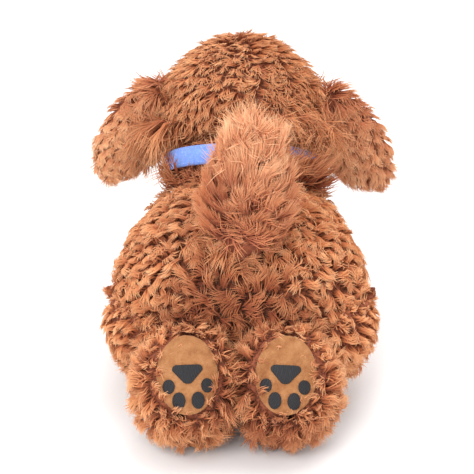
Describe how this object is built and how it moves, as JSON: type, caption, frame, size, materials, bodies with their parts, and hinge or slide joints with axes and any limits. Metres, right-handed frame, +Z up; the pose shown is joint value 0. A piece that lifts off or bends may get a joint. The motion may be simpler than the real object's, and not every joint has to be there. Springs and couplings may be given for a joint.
{
  "type": "interactive plush pet",
  "caption": "Curly plush dog lying on its belly, with a geared head turn and nod, wagging tail, flapping ears, touch buttons, speaker and battery case",
  "frame": {"origin": "on the floor, under the middle of the dog's bounding box", "axes": "+Z up, -Y towards the dog's nose, +X to the dog's left"},
  "size_m": [0.2297, 0.3338, 0.2135],
  "materials": {
    "curly_pile": "curly polyester pile, orange brown",
    "tail_pile": "longer pile, lighter at the tips",
    "stuffing": "white polyester filling",
    "sole_velour": "short tan velour",
    "paw_thread": "satin stitch thread",
    "collar_cloth": "light blue woven tape",
    "buckle_plastic": "polished acetal",
    "eye_plastic": "polished acrylic",
    "nose_plastic": "moulded, fine grain",
    "case_plastic": "moulded ABS, fine grain",
    "frame_plastic": "moulded ABS",
    "gear_plastic": "moulded acetal",
    "button_plastic": "moulded ABS",
    "switch_plastic": "moulded ABS",
    "steel": "zinc plated steel",
    "contact_metal": "nickel plated spring steel",
    "cell_wrap": "shrink sleeve",
    "board": "epoxy glass with solder resist",
    "chips": "moulded epoxy",
    "speaker_metal": "pressed steel basket and magnet"
  },
  "bodies": {
    "torso": {"torso_skin": "curly_pile", "torso_stuffing": "stuffing", "hind_leg_left": "curly_pile", "hind_leg_right": "curly_pile", "front_leg_left": "curly_pile", "front_leg_right": "curly_pile", "sole_patch_left": "sole_velour", "sole_patch_right": "sole_velour", "sole_embroidery_left": "paw_thread", "sole_embroidery_right": "paw_thread", "case_lower": "case_plastic", "case_upper": "case_plastic", "case_screws": "steel", "battery_cells": "cell_wrap", "battery_contacts": "contact_metal", "power_switch_housing": "switch_plastic", "circuit_board": "board", "board_components": "chips", "speaker": "speaker_metal", "back_touch_housing": "button_plastic", "turn_motor": "steel", "tail_motor": "steel", "tail_gearbox_frame": "frame_plastic", "tail_idler_axle": "steel"},
    "neck": {"neck_skin": "curly_pile", "collar_band": "collar_cloth", "collar_buckle": "buckle_plastic", "neck_post": "frame_plastic", "neck_drive_gear": "gear_plastic", "nod_axle": "steel", "nod_fixed_sector": "gear_plastic"},
    "head": {"head_skin": "curly_pile", "skull_front": "case_plastic", "skull_back": "case_plastic", "head_yoke": "frame_plastic", "eyes": "eye_plastic", "nose": "nose_plastic", "nod_motor": "steel", "head_touch_housing": "button_plastic"},
    "ear_left": {"ear_left": "curly_pile"},
    "ear_right": {"ear_right": "curly_pile"},
    "tail": {"tail_skin": "tail_pile", "tail_lever": "gear_plastic", "tail_shaft": "steel"},
    "tail_idler": {"tail_idler_gear": "gear_plastic"},
    "tail_pinion": {"tail_pinion": "gear_plastic"},
    "turn_pinion": {"turn_pinion": "gear_plastic"},
    "nod_pinion": {"nod_pinion": "gear_plastic"},
    "head_button": {"head_touch_button": "button_plastic"},
    "back_button": {"back_touch_button": "button_plastic"},
    "power_switch": {"power_switch_knob": "switch_plastic"},
    "battery_door": {"battery_door": "case_plastic", "battery_door_screw": "steel"}
  },
  "joints": [
    {"name": "head_turn", "type": "hinge", "parent": "torso", "child": "neck", "pos_m": [0, -0.062, 0.116], "axis": [0, -0.5299, 0.848], "range_deg": [-25, 25]},
    {"name": "head_nod", "type": "hinge", "parent": "neck", "child": "head", "pos_m": [0, -0.062, 0.116], "axis": [1, 0, 0], "range_deg": [-6, 12]},
    {"name": "ear_left_flap", "type": "hinge", "parent": "head", "child": "ear_left", "pos_m": [0.05729, -0.0832, 0.172], "axis": [0, -1, 0], "range_deg": [0, 60]},
    {"name": "ear_right_flap", "type": "hinge", "parent": "head", "child": "ear_right", "pos_m": [-0.05931, -0.0832, 0.166], "axis": [0, 1, 0], "range_deg": [0, 60]},
    {"name": "tail_wag", "type": "hinge", "parent": "torso", "child": "tail", "pos_m": [0, 0.082, 0.104], "axis": [0, 1, 0], "range_deg": [-14, 26]},
    {"name": "tail_idler_spin", "type": "hinge", "parent": "torso", "child": "tail_idler", "pos_m": [0, 0.082, 0.074], "axis": [0, 1, 0], "range_deg": [-104, 56]},
    {"name": "tail_pinion_spin", "type": "hinge", "parent": "torso", "child": "tail_pinion", "pos_m": [0, 0.076, 0.05], "axis": [0, 1, 0], "range_deg": [-168, 312]},
    {"name": "turn_pinion_spin", "type": "hinge", "parent": "torso", "child": "turn_pinion", "pos_m": [0.024, -0.03868, 0.07869], "axis": [0, -0.5299, 0.848], "range_deg": [-75, 75]},
    {"name": "nod_pinion_spin", "type": "hinge", "parent": "head", "child": "nod_pinion", "pos_m": [0.012, -0.07472, 0.13635], "axis": [1, 0, 0], "range_deg": [-18, 36]},
    {"name": "head_button_press", "type": "slide", "parent": "head", "child": "head_button", "axis": [0, 0.5299, -0.848], "range_m": [0, 0.0015], "stiffness_N_per_m": 500, "springref_m": -0.001},
    {"name": "back_button_press", "type": "slide", "parent": "torso", "child": "back_button", "axis": [0, 0, -1], "range_m": [0, 0.0015], "stiffness_N_per_m": 500, "springref_m": -0.001},
    {"name": "power_switch_slide", "type": "slide", "parent": "torso", "child": "power_switch", "axis": [1, 0, 0], "range_m": [0, 0.005]},
    {"name": "battery_door_hinge", "type": "hinge", "parent": "torso", "child": "battery_door", "pos_m": [0, -0.0408, 0], "axis": [-1, 0, 0], "range_deg": [0, 85]}
  ],
  "couplings": [
    {"joint": "tail_idler_spin", "follows": "tail_wag", "ratio": -4},
    {"joint": "tail_pinion_spin", "follows": "tail_wag", "ratio": 12},
    {"joint": "turn_pinion_spin", "follows": "head_turn", "ratio": -3},
    {"joint": "nod_pinion_spin", "follows": "head_nod", "ratio": 3}
  ]
}
